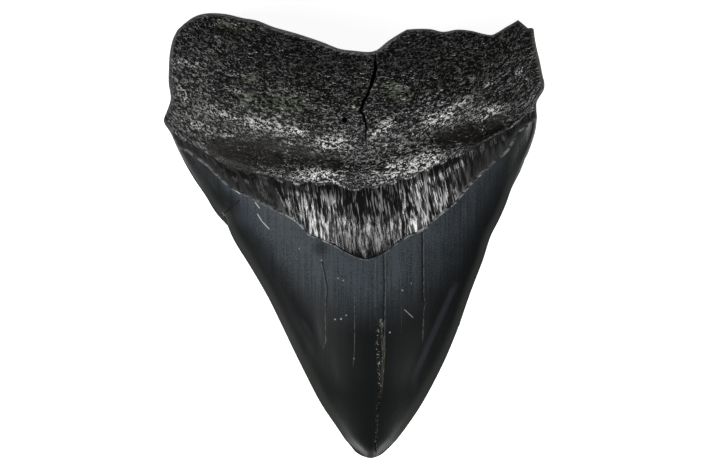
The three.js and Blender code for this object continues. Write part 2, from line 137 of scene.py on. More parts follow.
def patch(bottom, top, left, right):
    """Points of a patch between four lines that meet in its corners, row by row."""
    rise = np.linalg.norm(left - left[0], axis=1)
    rise = np.clip(rise / rise[-1], 0, 1)[:, None, None]
    v = np.linspace(0, 1, len(left))[:, None, None]
    u = np.linspace(0, 1, len(bottom))[None, :, None]
    rise = np.where((v == 0) | (v == 1), v, rise)
    across = (1 - u) * left[:, None] + u * right[:, None]
    upward = (1 - rise) * bottom[None] + rise * top[None]
    low = (1 - u) * bottom[0] + u * bottom[-1]
    high = (1 - u) * top[0] + u * top[-1]
    return across + upward - (1 - rise) * low - rise * high


plan = np.concatenate([
    patch(tip_arc, enamel_edge, crown_left, crown_right),
    patch(enamel_edge, ledge, neck_left, neck_right)[1:],
    patch(ledge, root_top, root_left, root_right)[1:],
])
X, Y = plan[..., 0], plan[..., 1]
outline = np.vstack([plan[0], plan[1:, -1], plan[-1, -2::-1], plan[-2:0:-1, 0], plan[:1, 0]])


def nearest(line, x, y):
    """Distance to a line, the side on which a point lies (1 is left) and how far along it is."""
    start, step = line[:-1], np.diff(line, axis=0)
    size = (step**2).sum(1)
    points = np.column_stack([np.ravel(x), np.ravel(y)])
    found = np.empty((3, len(points)))
    for i in range(0, len(points), 4000):
        gap = points[i : i + 4000, None] - start[None]
        t = np.clip((gap * step).sum(2) / size, 0, 1)
        off = gap - t[..., None] * step
        far = (off**2).sum(2)
        k = far.argmin(1)
        row = np.arange(len(k))
        turn = step[k, 0] * gap[row, k, 1] - step[k, 1] * gap[row, k, 0]
        found[:, i : i + 4000] = np.sqrt(far[row, k]), np.where(turn < 0, -1, 1), k + t[row, k]
    return [f.reshape(np.shape(x)) for f in found]


edge, _, _ = nearest(outline[::2] if len(outline) % 2 else outline, X, Y)

# The tooth's bulk is one grown piece: dentine under the enamel, and porous root bone behind it.
# The upper, inner face swells to a broad bulge in the root; the outer face is nearly flat. Both
# meet in the outline, thin along the cutting edges and thickly rounded round the root's lobes.


def smooth(value, low, high):
    """0 below low, 1 above high, smooth between them."""
    t = np.clip((value - low) / (high - low), 0, 1)
    return t * t * (3 - 2 * t)


def profile(*pairs):
    """A smooth function through pairs of a position and a value that never overshoots them."""
    xs, ys = np.array(pairs, float).T
    slope = np.diff(ys) / np.diff(xs)
    before, after = np.r_[slope[0], slope], np.r_[slope, slope[-1]]
    both = np.where(before * after > 0, 2 * before * after, 0)
    tangent = both / np.where(both > 0, before + after, 1)

    def value(x):
        held = np.clip(x, xs[0], xs[-1])
        i = np.clip(np.searchsorted(xs, held), 1, len(xs) - 1)
        step = xs[i] - xs[i - 1]
        t = (held - xs[i - 1]) / step
        rise = t * t * (3 - 2 * t)
        start = t * (1 - t) ** 2 * step * tangent[i - 1]
        end = t * t * (t - 1) * step * tangent[i]
        return ys[i - 1] + (ys[i] - ys[i - 1]) * rise + start + end

    return value


spine = profile((-60, 2.6), (-58.5, 3.2), (-52, 4.5), (-40, 6.6), (-25, 9.2), (-7, 12.3), (3, 16.6),
                (12, 18.8), (16.5, 20.5), (20.5, 21.7), (26, 24.4), (30, 25.5), (36, 26), (42, 25.2),
                (48, 22.8), (54, 20), (60, 17.5))
enamel_spine = profile((-60, 2.6), (-58.5, 3.2), (-52, 4.5), (-40, 6.6), (-25, 9.2), (-7, 12.3),
                       (10, 15.2), (30, 18.4), (60, 18.4))
side_level = profile((-60, 2.6), (12, 3.2), (20, 4.8), (28, 7.8), (36, 11), (44, 13), (50, 14), (60, 14))
meeting_level = profile((-60, 2.6), (20, 3.2), (32, 6.5), (50, 8), (60, 8))
fullness = profile((-60, 1.9), (5, 1.9), (30, 2.5), (60, 2.6))
belly_level = profile((-60, 2.4), (-52, 1.4), (-35, 0.6), (-10, 0), (30, 0), (44, 1.2), (60, 3))
belly_side = profile((-60, 2.6), (15, 3.1), (30, 2.3), (60, 3.6))
left_side = profile((-60, 3.4), (-55, -2.3), (-45, -9), (-24, -19.6), (0, -32.8), (17, -44),
                    (28, -49.6), (40, -50.6), (60, -50.6))
right_side = profile((-60, 6), (-55, 11.8), (-45, 18.7), (-26, 27.9), (0, 37.1), (17, 44.8),
                     (31, 49.6), (42, 50.6), (60, 50.6))
outer_enamel_end = profile((-49.5, 28.1), (-30, 23.2), (3.4, 19.7), (30, 23.4), (49.5, 31.9))
CUTTING_EDGE_ROUND = 1.3
LOBE_ROUND = 2.0
BROKEN_EDGE_ROUND = 1.3
FLAT_CUT = 0.35


def edge_turn(distance, radius):
    """How far round an edge has turned: 0 in the outline, 1 where the face begins."""
    left = 1 - np.minimum(distance / radius, 1)
    return np.cbrt(1 - left**3)


middle = (left_side(Y) + right_side(Y)) / 2
half = (right_side(Y) - left_side(Y)) / 2
across = np.minimum(np.abs(X - middle) / half, 1)
broken = np.maximum(smooth(X, 7, 15) * smooth(Y, 46, 50), smooth(X, 42, 46))
bone_round = LOBE_ROUND + (BROKEN_EDGE_ROUND - LOBE_ROUND) * broken
edge_round = CUTTING_EDGE_ROUND + (bone_round - CUTTING_EDGE_ROUND) * smooth(Y, 26, 36)
meeting = meeting_level(Y)
row = np.arange(ROWS + 1)[:, None] + np.zeros((1, COLUMNS + 1))
column = np.arange(COLUMNS + 1)[None] + np.zeros((ROWS + 1, 1))
share = np.clip((row - ENAMEL_ROW) / BOURLETTE_ROWS, 0, 1)
crest = enamel_spine(Y) + (spine(Y) - enamel_spine(Y)) * (1 - (1 - share) ** 3)
upper = side_level(Y) + (crest - side_level(Y)) * (1 - across ** fullness(Y))
on_crown = row <= ENAMEL_ROW
on_bourlette = (row > ENAMEL_ROW) & (row <= LEDGE_ROW)
on_root = row > LEDGE_ROW
inside = smooth(edge, 0, 3)


def scattered(i, j):
    """A value between -1 and 1 for each whole position, the same at every run."""
    wave = np.sin(i * 127.1 + j * 311.7) * 43758.5453
    return 2 * (wave - np.floor(wave)) - 1


def unevenness(x, y):
    """Scattered values between -1 and 1, smooth between whole positions."""
    i, j = np.floor(x), np.floor(y)
    u, v = smooth(x - i, 0, 1), smooth(y - j, 0, 1)
    near = scattered(i, j) * (1 - u) + scattered(i + 1, j) * u
    far = scattered(i, j + 1) * (1 - u) + scattered(i + 1, j + 1) * u
    return near * (1 - v) + far * v


# The crown is a blade of dentine coated in hard glossy enamel, grown in fine lengthwise bands. A
# shallow channel runs inside each cutting edge, whose small serrations are worn almost smooth.
MARGIN_DEPTH = 0.5
MARGIN_INSET = 4.5
MARGIN_HALF_WIDTH = 2.6
channel = np.exp(-(((edge - MARGIN_INSET) / MARGIN_HALF_WIDTH) ** 2))
crown_relief = -MARGIN_DEPTH * channel * smooth(Y, -45, -25)
bands = unevenness(X / 2.6 + 3, Y / 40) * 0.05 + unevenness(X / 6 + 20, Y / 60) * 0.09
crown_relief += bands * inside * smooth(Y, -50, -25)
tip_crack = [  # x, y, width
    (7.4, -23.2, 0.5), (7.6, -25.4, 0.8), (7.6, -28.9, 0.9), (7.8, -32.4, 0.9), (7.7, -35.4, 0.85),
    (7.5, -38.1, 0.8), (7.3, -41.9, 0.7), (7, -43.9, 0.6), (6.6, -45.9, 0.5), (6.35, -48.9, 0.5),
    (6.25, -52.1, 0.5), (6.2, -53.6, 0.5), (5.9, -55.6, 0.5), (6, -57.8, 0.3),
]
TIP_CRACK_DEPTH = 0.5
crack_y = np.array([y for _, y, _ in tip_crack])[::-1]
crack_x = np.interp(Y, crack_y, [x for x, _, _ in tip_crack][::-1])
crack_half = np.interp(Y, crack_y, [w / 2 for _, _, w in tip_crack][::-1])
crack_ends = smooth(Y, -59, -56.5) * smooth(Y, -22, -24)
ragged = 0.12 * unevenness(Y / 0.8, 4.5) + 0.06 * unevenness(Y / 0.35, 8.5)
crack_gap = np.abs(X - crack_x - ragged) / crack_half
crown_relief -= TIP_CRACK_DEPTH * smooth(crack_gap, 1.1, 0.5) * crack_ends
upper = upper + np.where(on_crown, crown_relief, 0)

# The bourlette is the dark glossy band between enamel and root: thin tissue drawn into folds and
# striations that all run towards the tip. It lies a little lower than the enamel's edge.
ENAMEL_STEP = 0.4
FOLD_HEIGHT = 0.22
FOLD_SPACING = 2.0
GROOVE_DEPTH = 0.7
GROOVE_WIDTH = 1.7
RIB_HEIGHT = 0.13
RIB_SPACING = 1.1
fan_line = 0.5 * (enamel_edge + ledge)
fan_steps = np.linalg.norm(np.diff(fan_line, axis=0), axis=1)
fan = np.concatenate([[0], np.cumsum(fan_steps)])[None] + np.zeros((ROWS + 1, 1))
drift = 0.35 * unevenness(fan / 6, share * 3 + 11)
folds = unevenness(fan / FOLD_SPACING + drift, share * 1.3) * FOLD_HEIGHT
ribs = unevenness(fan / RIB_SPACING + drift + 50, share * 2.2 + 5) * RIB_HEIGHT
swell = np.sin(np.pi * share) ** 0.5
bourlette_relief = -ENAMEL_STEP * inside + (folds + ribs) * 2 * swell * smooth(edge, 2, 10)
behind_ledge, ledge_side, _ = nearest(ledge[::2], X, Y)
bourlette_relief -= GROOVE_DEPTH * np.exp(-((behind_ledge / GROOVE_WIDTH) ** 2)) * smooth(edge, 1, 6)
upper = upper + np.where(on_bourlette, bourlette_relief, 0)

# The root is porous bone, filled with stone. Its lower lip stands over the bourlette as a ledge,
# and ridges, troughs and hollows run across its bulge. Olive sediment sits in the hollows.
LEDGE_ROUND = 0.7
LEDGE_FADE = 9
ROOT_LUMPS = 0.3
ROOT_LUMP_SIZE = 5.5
ledge_height = profile((-50, 0.3), (-42, 0.35), (-22, 0.9), (38, 0.9), (50, 0.5))
lumps = [  # centre, half length, half width, lean in degrees, height
    (-28, 25, 14, 4.6, -14, -1.9),
    (-30, 18.6, 11, 4.2, -20, 0.8),
    (-41, 34, 3.5, 2, -40, 0.5),
    (-24, 33, 8, 2.6, -8, 0.5),
    (-10, 17.9, 7, 2.4, -4, 0.5),
    (31, 29.2, 13, 4.2, 14, -1.9),
    (37.3, 34.4, 4.6, 2.2, 25, 0.6),
    (30.6, 38.2, 2.8, 1.2, 62, 0.6),
    (14, 21, 10, 3, 12, 0.8),
    (5.8, 28.4, 2.4, 3.2, 20, 0.4),
    (12, 38.8, 5.4, 1.3, 8, -0.6),
    (-21, 37.5, 9.5, 2, -4, -0.5),
    (-31, 43, 4.6, 1.6, -3, -0.5),
    (-36.5, 45.4, 3.4, 2.4, -40, 0.5),
    (-45.5, 46.6, 2.6, 3.2, 0, 0.5),
    (25, 42.8, 8.5, 2, 12, -0.5),
    (-33, 55.6, 6, 1.6, -8, -0.7),
    (40, 45.4, 3.4, 4, 0, 0.5),
    (8.4, 47.4, 1.9, 2.6, 30, -0.7),
    (24, 50.4, 6, 2.2, 0, 0.4),
    (43.5, 53.6, 2.6, 2.2, 40, 0.6),
]
lumpy = np.zeros_like(X)
for cx, cy, half_length, half_width, lean, height in lumps:
    turn = math.radians(lean)
    along = (X - cx) * math.cos(turn) + (Y - cy) * math.sin(turn)
    aside = (Y - cy) * math.cos(turn) - (X - cx) * math.sin(turn)
    lumpy += height * np.exp(-((along / half_length) ** 2) - (aside / half_width) ** 2)
lip = edge_turn(behind_ledge, LEDGE_ROUND)
lip = lip * (1 - 0.75 * smooth(behind_ledge, LEDGE_ROUND, LEDGE_FADE))
bone = unevenness(X / ROOT_LUMP_SIZE, Y / ROOT_LUMP_SIZE)
bone += 0.6 * unevenness(X / (ROOT_LUMP_SIZE * 0.45) + 40, Y / (ROOT_LUMP_SIZE * 0.45))
root_relief = (ledge_height(X) * lip - ENAMEL_STEP * (1 - lip)) * inside
root_relief += (lumpy + ROOT_LUMPS * bone) * inside * smooth(behind_ledge, 0, 2)
upper = upper + np.where(on_root, root_relief, 0)
upper = meeting + (upper - meeting) * edge_turn(edge, edge_round)

# The outer face, which the tooth lies on. Its enamel ends in a shallow curve nearer the root, and
# the lowest part is a flat spot. It is drawn half as finely as the upper face.
OUTER_ENAMEL_STEP = 0.3
belly = belly_level(Y)
lower = belly + (belly_side(Y) - belly) * across**2.2
lower += OUTER_ENAMEL_STEP * smooth(Y - outer_enamel_end(X), 0, 2.5)
lower += ROOT_LUMPS * 0.7 * unevenness(X / 6 + 9, Y / 6) * smooth(Y, 26, 34)
lower = meeting - (meeting - lower) * edge_turn(edge, edge_round)
lower = np.maximum(lower - FLAT_CUT, 0)

rim = (row == 0) | (row == ROWS) | (column == 0) | (column == COLUMNS)
drawn_below = (row % 2 == 0) & (column % 2 == 0) & ~rim
upper_index = np.arange(X.size).reshape(X.shape)
lower_index = np.where(rim, upper_index, -1)
lower_index[drawn_below] = X.size + np.arange(drawn_below.sum())
points = np.vstack([
    np.column_stack([X.ravel(), Y.ravel(), upper.ravel()]),
    np.column_stack([X[drawn_below], Y[drawn_below], lower[drawn_below]]),
])
a, b = upper_index[:-1, :-1], upper_index[:-1, 1:]
c, d = upper_index[1:, 1:], upper_index[1:, :-1]
faces = np.stack([a, b, c, d], axis=-1).reshape(-1, 4).tolist()
for r in range(0, ROWS, 2):
    for k in range(0, COLUMNS, 2):
        ring = [(r, k), (r + 1, k), (r + 2, k), (r + 2, k + 1), (r + 2, k + 2), (r + 1, k + 2),
                (r, k + 2), (r, k + 1)]
        faces.append([int(lower_index[i, j]) for i, j in ring if lower_index[i, j] >= 0])
low, high = points.min(0), points.max(0)
shift = np.array([(low[0] + high[0]) / 2, (low[1] + high[1]) / 2, low[2]])
tooth_mesh = bpy.data.meshes.new("fossil_tooth")
tooth_mesh.from_pydata(((points - shift) / 1000).tolist(), [], faces)
tooth_mesh.validate()
tooth_mesh.shade_smooth()
tooth = bpy.data.objects.new("fossil_tooth", tooth_mesh)
bpy.context.scene.collection.objects.link(tooth)


def mark(name, above, below=None):
    """Keeps a value for each point of the tooth, for its materials."""
    below = above if below is None else below
    values = np.concatenate([above.ravel(), below[drawn_below]]).astype(np.float32)
    attribute = tooth_mesh.attributes.new(name, "FLOAT", "POINT")
    attribute.data.foreach_set("value", values)


outer_root = smooth(Y - outer_enamel_end(X), -0.4, 0.4)
seam, seam_side, _ = nearest(enamel_edge[::2], X, Y)
mark("bourlette", (on_bourlette | (row == LEDGE_ROW)) * 1.0, np.zeros_like(X))
mark("root", on_root * 1.0, outer_root)
mark("seam", seam * seam_side, np.full_like(X, 30.0))
mark("ledge", behind_ledge * ledge_side, np.full_like(X, 30.0))
mark("edge", edge)
mark("fan", fan)
mark("above", np.ones_like(X), np.zeros_like(X))
mark("tip crack", smooth(crack_gap, 1.3, 0.7) * crack_ends * on_crown, np.zeros_like(X))

# The bone's surface is grown in fine worm-like grains that cover the whole root, and worn smooth.
# They run along growth lines that curve like the root's lip, and fade out on the enamel.
GRAIN_HEIGHT = 0.2
GRAIN_SIZE = 0.8
GRAIN_LENGTH = 1.5
GRAIN_SEED = 4
GROWTH_CURVE = 0.0065


class Wire:
    """A socket that adds maths nodes when it is used in an expression."""

    def __init__(self, shop, socket):
        self.shop, self.socket = shop, socket

    def _math(self, operation, *terms):
        values = {i: term for i, term in enumerate(terms)}
        return self.shop.add("ShaderNodeMath", {"operation": operation}, values)

    def __add__(self, other):
        return self._math("ADD", self, other)

    def __radd__(self, other):
        return self._math("ADD", other, self)

    def __sub__(self, other):
        return self._math("SUBTRACT", self, other)

    def __rsub__(self, other):
        return self._math("SUBTRACT", other, self)

    def __mul__(self, other):
        return self._math("MULTIPLY", self, other)

    def __rmul__(self, other):
        return self._math("MULTIPLY", other, self)

    def __truediv__(self, other):
        return self._math("DIVIDE", self, other)

    def __rtruediv__(self, other):
        return self._math("DIVIDE", other, self)

    def __pow__(self, other):
        return self._math("POWER", self, other)

    def __abs__(self):
        return self._math("ABSOLUTE", self)

    def __neg__(self):
        return self * -1.0

    def step(self, low, high, start=0.0, end=1.0):
        """Goes smoothly from start below low to end above high."""
        settings = {"interpolation_type": "SMOOTHSTEP"}
        if low > high:
            low, high, start, end = high, low, end, start
        values = {"Value": self, "From Min": low, "From Max": high, "To Min": start, "To Max": end}
        return self.shop.add("ShaderNodeMapRange", settings, values)


class Shop:
    """Adds nodes to one tree."""

    def __init__(self, tree):
        self.tree = tree
        tree.nodes.clear()

    def add(self, kind, settings=None, values=None, out=0):
        node = self.tree.nodes.new(kind)
        for name, value in (settings or {}).items():
            setattr(node, name, value)
        for name, value in (values or {}).items():
            socket = node.inputs[name]
            if isinstance(value, Wire):
                self.tree.links.new(value.socket, socket)
            else:
                socket.default_value = value
        return Wire(self, node.outputs[out]) if node.outputs else None

    def mark(self, name):
        return self.add("ShaderNodeAttribute", {"attribute_name": name}, out="Fac")

    def blend(self, share, one, other):
        """A colour that goes from one to the other as share goes from 0 to 1."""
        return self.add("ShaderNodeMix", {"data_type": "RGBA"},
                        {0: share, 6: colour(one), 7: colour(other)}, out=2)

    def noise(self, where, scale, detail=2.0, roughness=0.5, distortion=0.0):
        return self.add("ShaderNodeTexNoise", {}, {
            "Vector": where, "Scale": scale, "Detail": detail, "Roughness": roughness,
            "Distortion": distortion})


def colour(value):
    return value if isinstance(value, Wire) else (*value, 1.0)


def millimetres(shop, where):
    """A place on the tooth in millimetres, whole and as x, y and z."""
    in_mm = shop.add("ShaderNodeVectorMath", {"operation": "MULTIPLY_ADD"}, {
        0: where, 1: (1000, 1000, 1000), 2: tuple(shift)})
    return in_mm, *(shop.add("ShaderNodeSeparateXYZ", {}, {0: in_mm}, out=k) for k in range(3))


def along_growth(shop, where, length, width):
    """Coordinates that stretch a pattern along the root's growth lines."""
    _, x, y, z = millimetres(shop, where)
    across = y - x * x * GROWTH_CURVE
    return shop.add("ShaderNodeCombineXYZ", {}, {0: x / length, 1: across / width, 2: z / width})


def grown_grains(shop, place, seed):
    """The height of the bone's grains, from about 0 to 1."""
    return shop.add("ShaderNodeTexNoise", {"noise_dimensions": "4D"}, {
        "Vector": place, "W": seed, "Scale": 1.0, "Detail": 1.0, "Roughness": 0.4,
        "Distortion": 0.4})


grain_tree = bpy.data.node_groups.new("bone_grain", "GeometryNodeTree")
grown = grain_tree.interface.new_socket("Tooth", in_out="INPUT", socket_type="NodeSocketGeometry")
sizes = {}
for name, value in (("Grain height", GRAIN_HEIGHT), ("Grain size", GRAIN_SIZE),
                    ("Grain length", GRAIN_LENGTH), ("Seed", GRAIN_SEED)):
    socket = grain_tree.interface.new_socket(name, in_out="INPUT", socket_type="NodeSocketFloat")
    sizes[socket.identifier] = float(value)
grain_tree.interface.new_socket("Tooth", in_out="OUTPUT", socket_type="NodeSocketGeometry")
look = bpy.data.materials.new("fossil")
look.use_nodes = True
shop = Shop(grain_tree)
given = grain_tree.nodes.new("NodeGroupInput")
body, grain_height, grain_size, grain_length, seed = (Wire(shop, given.outputs[i]) for i in range(5))
where = shop.add("GeometryNodeInputPosition")
direction = shop.add("GeometryNodeInputNormal")
bone_share = shop.add("GeometryNodeInputNamedAttribute", {"data_type": "FLOAT"}, {"Name": "root"})
rim_gap = shop.add("GeometryNodeInputNamedAttribute", {"data_type": "FLOAT"}, {"Name": "edge"})
lip_gap = shop.add("GeometryNodeInputNamedAttribute", {"data_type": "FLOAT"}, {"Name": "ledge"})
grains = grown_grains(shop, along_growth(shop, where, grain_length, grain_size), seed)
level = shop.add("ShaderNodeSeparateXYZ", {}, {0: where}, out=2) * 1000
lift = (grains - 0.5) * grain_height * bone_share * rim_gap.step(0, 1.5) * lip_gap.step(0.2, 2.5)
lift = lift * level.step(0.1, 1) * 0.001
lifted = shop.add("ShaderNodeVectorMath", {"operation": "SCALE"}, {0: direction, 3: lift})
shaped = shop.add("GeometryNodeSetPosition", {}, {"Geometry": body, "Offset": lifted})
whole = shop.add("GeometryNodeRealizeInstances", {}, {"Geometry": shaped})
coated = shop.add("GeometryNodeSetMaterial", {}, {"Geometry": whole, "Material": look})
shop.add("NodeGroupOutput", {}, {0: coated})


def settled(piece):
    """Turns a piece with modifiers into its plain mesh."""
    seen = piece.evaluated_get(bpy.context.evaluated_depsgraph_get())
    mesh = bpy.data.meshes.new_from_object(seen)
    piece.modifiers.clear()
    piece.data = mesh


grow = tooth.modifiers.new("bone grain", "NODES")
grow.node_group = grain_tree
for identifier, value in sizes.items():
    grow[identifier] = value
settled(tooth)

# A crack splits the root from its notch down, open and deep at first. A blood vessel's hole stands
# to its left, and a shallower pit to its right. They are cut into the finished surface.
ROOT_CRACK_DEPTH = 5
root_crack = [  # x, y, width
    (6.6, 51.5, 0.14), (6.1, 49.4, 0.14), (5.7, 47, 0.16), (5.8, 44.6, 0.5), (5.5, 43.2, 1.0),
    (5.2, 41.7, 1.05), (4.7, 40.2, 1.0), (4, 38.3, 0.8), (3.4, 37, 0.5), (2.6, 35.6, 0.85),
    (2.3, 34.2, 0.8), (1.8, 33.1, 0.7), (2.4, 32.5, 0.45), (2.8, 31.3, 0.5), (3.3, 29.4, 0.45),
    (3.4, 28.6, 0.3), (3.1, 27.3, 0.22), (3.4, 24.8, 0.1),
]


def surface_at(x, y):
    """Height of the upper face at a place."""
    spot = np.argmin((X - x) ** 2 + (Y - y) ** 2)
    return upper.ravel()[spot]


def cutter(name, points, faces):
    """A body that is taken out of the tooth. Its faces line the opening."""
    mesh = bpy.data.meshes.new(name)
    mesh.from_pydata([tuple((np.array(p) - shift) / 1000) for p in points], [], faces)
    mesh.materials.append(look)
    made = bpy.data.objects.new(name, mesh)
    bpy.context.scene.collection.objects.link(made)
    return made


def crack_wedge(name, places, depth, stations):
    """A ragged wedge that follows a crack, from above the surface to the given depth."""
    above = 3
    path = smooth_run([(x, y) for x, y, _ in places], stations)
    length = np.linspace(0, 1, len(places))
    widths = np.interp(np.linspace(0, 1, stations + 1), length, [w for _, _, w in places])
    points, faces = [], []
    for i, (x, y) in enumerate(path):
        run = path[min(i + 1, stations)] - path[max(i - 1, 0)]
        run = run / np.linalg.norm(run)
        x += 0.1 * unevenness(y / 0.7, 2.5)
        half_width = widths[i] / 2 * (1 + 0.25 * unevenness(y / 0.6, 9.5)) * (depth + above) / depth
        top = surface_at(x, y) + above
        points += [(x - run[1] * half_width, y + run[0] * half_width, top),
                   (x + run[1] * half_width, y - run[0] * half_width, top),
                   (x, y, top - above - depth)]
    for i in range(0, 3 * stations, 3):
        for a, b in ((0, 1), (1, 2), (2, 0)):
            faces += [(i + a, i + b, i + 3 + b, i + 3 + a)]
    last = 3 * stations
    faces += [(0, 2, 1), (last, last + 1, last + 2)]
    return cutter(name, points, faces)


def hole(name, x, y, diameter, depth, sides=20):
    """A hole that isn't quite round and narrows downwards."""
    above = 2
    top = surface_at(x, y)
    points, faces = [], []
    for level, size in ((top - depth, 0.6), (top + above, 1.0)):
        for k in range(sides):
            turn = 2 * math.pi * k / sides
            size_here = diameter / 2 * size * (1 + 0.06 * math.sin(3 * turn + x))
            points.append((x + size_here * math.cos(turn), y + size_here * math.sin(turn), level))
    for k in range(sides):
        n = (k + 1) % sides
        faces.append((k, n, sides + n, sides + k))
    faces += [tuple(range(sides))[::-1], tuple(range(sides, 2 * sides))]
    return cutter(name, points, faces)


for tool in (crack_wedge("root_crack", root_crack, ROOT_CRACK_DEPTH, 90),
             hole("foramen", -2.4, 30.8, 1.5, 5), hole("side_pit", 14.1, 37.5, 1.0, 1.2),
             hole("small_pit", 6.8, 22.1, 0.6, 0.8)):
    cut = tooth.modifiers.new("cut", "BOOLEAN")
    cut.operation = "DIFFERENCE"
    cut.solver = "EXACT"
    cut.object = tool
    settled(tooth)
    bpy.data.objects.remove(tool)
tooth.data.set_sharp_from_angle(angle=math.radians(45))

# The whole tooth is one piece, and it stands for the solid of the frame.
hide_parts("tooth")
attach(tooth, "root")

# The surface is stone now: black enamel with a painted blue-grey sheen, the bourlette's glossy
# streaks with painted highlights, and the root's grained bone with painted glints, painted shade and
# sediment in its hollows. Each mark is laid down by its place on the tooth in millimetres, seen from
# above, and the marks of the upper face stop at its edge.
shop = Shop(look.node_tree)
place = shop.add("ShaderNodeTexCoord", out="Object")
in_mm, x, y, _ = millimetres(shop, place)
flat_place = shop.add("ShaderNodeCombineXYZ", {}, {0: x, 1: y, 2: 0.0})
root_w, bourlette_w, above = shop.mark("root"), shop.mark("bourlette"), shop.mark("above")
seam_w, ledge_w, edge_w, fan_w = (shop.mark(name) for name in ("seam", "ledge", "edge", "fan"))
enamel_w = (1 - root_w) * (1 - bourlette_w)

# colours of the enamel: nearly black, with a painted blue-grey sheen under its upper edge that fades
# towards the tip, painted shade that holds the sheen back inside the cutting edges and on the right,
# and painted highlights right at the thin cutting edges and along the tip's edges
BLACK_ENAMEL = (0.0022, 0.0024, 0.0022)
SHEEN_BLUE_GREY = (0.049, 0.059, 0.069)
CUTTING_EDGE_HIGHLIGHT = (0.062, 0.066, 0.06)
TIP_HIGHLIGHT_GREY = (0.022, 0.025, 0.022)
down = -seam_w
# painted sheen and painted shade: blue-grey under the upper edge, dimmer near the cutting edges and on
# the right
painted_sheen = down.step(22, 2) * edge_w.step(2.2, 9.5, 0.05, 1) * x.step(12, 30, 1, 0.5) + 0.045
painted_sheen = painted_sheen * above.step(0, 1, 0.35, 1)
streak_spot = shop.add("ShaderNodeCombineXYZ", {}, {0: x * 1.9, 1: y * 0.05, 2: 0.0})
bands_w = shop.noise(streak_spot, 1.0, 3.0, 0.65)
clouds = shop.noise(in_mm, 0.16, 2.0)
mottle = shop.noise(in_mm, 3.2, 1.0)
fine_tone = bands_w.step(0.25, 0.75) * 0.75 + mottle.step(0.32, 0.68) * 0.75 + 0.2
sheen_and_tone = painted_sheen * fine_tone * (0.5 + clouds * 0.8)
enamel_colour = shop.blend(sheen_and_tone, BLACK_ENAMEL, SHEEN_BLUE_GREY)
# painted highlights along the thin cutting edges and the tip's edges
cutting_edge_highlight = edge_w.step(2.6, 0.5) * enamel_w * y.step(26, 16)
enamel_colour = shop.blend(cutting_edge_highlight * 0.42, enamel_colour, CUTTING_EDGE_HIGHLIGHT)
tip_edge_highlight = edge_w.step(3.2, 1) * y.step(-24, -40)
enamel_colour = shop.blend(tip_edge_highlight * 0.7, enamel_colour, TIP_HIGHLIGHT_GREY)


def course(y, points):
    """The x of a line at a given y, from points that go one way in y."""
    total = points[0][0]
    for (x0, y0), (x1, y1) in zip(points, points[1:]):
        total = total + shop.add("ShaderNodeMapRange", {}, {
            "Value": y, "From Min": y0, "From Max": y1, "To Min": 0.0, "To Max": x1 - x0})
    return total


def hairline(points, half_width, ends=1.5):
    """1 on a fine line that runs down the crown and 0 beside it."""
    gap = abs(x - course(y, points))
    top, bottom = max(p[1] for p in points), min(p[1] for p in points)
    run = y.step(bottom - ends, bottom + ends) * y.step(top + ends * 0.3, top - ends * 0.3)
    return gap.step(half_width * 1.6, half_width * 0.2) * run


def scratch(start, end, half_width, ends=0.2):
    """1 on a straight short line and 0 beside it."""
    dx, dy = end[0] - start[0], end[1] - start[1]
    size = math.hypot(dx, dy)
    dx, dy = dx / size, dy / size
    along = (x - start[0]) * dx + (y - start[1]) * dy
    aside = abs((y - start[1]) * dx - (x - start[0]) * dy)
    run = along.step(-ends, ends) * along.step(size + ends, size - ends)
    return aside.step(half_width * 1.4, half_width * 0.4) * run


def speck(x, y, radius):
    """1 on a round speck with a soft edge and 0 beside it."""
    gap = shop.add("ShaderNodeVectorMath", {"operation": "DISTANCE"}, {0: flat_place, 1: (x, y, 0)},
                   out="Value")
    return gap.step(radius * 1.15, radius * 0.3)


def most(*wires):
    """The greatest of several masks."""
    top = wires[0]
    for wire in wires[1:]:
        top = shop.add("ShaderNodeMath", {"operation": "MAXIMUM"}, {0: top, 1: wire})
    return top


def specks_at(*spots):
    """1 on each of several specks, given by x, y and radius."""
    return most(*[speck(*spot) for spot in spots])


# hairlines, from left to right, with dark beds and pale worn rims, then smudges, soft painted
# highlight streaks, scratches and specks of bare enamel
LINE_BLACK = (0.002, 0.0022, 0.002)
LINE_GREY = (0.12, 0.125, 0.12)
HIGHLIGHT_BLUE = (0.05, 0.055, 0.07)
SCRATCH_WHITE = (0.42, 0.44, 0.43)
SPECK_WHITE = (0.33, 0.34, 0.33)
dashes = shop.noise(shop.add("ShaderNodeCombineXYZ", {}, {0: x * 0.6, 1: y * 0.8, 2: 0.0}), 1.0, 3.0)
dashed = dashes.step(0.38, 0.58)
line_a = [(-8.8, -6.5), (-8, -10.5), (-7.4, -14), (-7.7, -19.7), (-7.5, -28.3), (-8.1, -29.7)]
line_b = [(0.24, -14.6), (0.24, -31), (-0.14, -34.6)]
line_c = [(5.9, -6.5), (5.95, -21.3)]
line_d = [(8.4, -4.9), (8.55, -14), (8.35, -24.6), (8.4, -31)]
line_e = [(11.6, -5.4), (12.8, -12.1), (12.9, -25.9)]
line_f = [(18.36, 1.1), (18.5, -16.2), (18.9, -18.1), (18.5, -20.2), (18.2, -27.8)]
dark_lines = most(hairline([(px + 0.3, py) for px, py in line_a[:4]], 0.24),
                  hairline(line_f[:3], 0.3),
                  hairline([(px - 0.35, py) for px, py in line_d[:3]], 0.3) * 0.8)
pale_lines = most(hairline(line_a, 0.13), hairline(line_b, 0.11), hairline(line_c, 0.11) * 0.8,
                  hairline(line_d, 0.14), hairline(line_e, 0.11) * 0.35,
                  hairline([(px + 0.42, py) for px, py in line_f], 0.14)) * (0.15 + dashed * 0.6)
smudges = most(scratch((-35.6, 5.6), (-30.6, 9.8), 0.22), speck(-9, -3.4, 2.4) * 0.6,
               speck(-33.5, 9.6, 3) * 0.4)
enamel_colour = shop.blend(most(dark_lines, smudges) * above * 0.9, enamel_colour, LINE_BLACK)
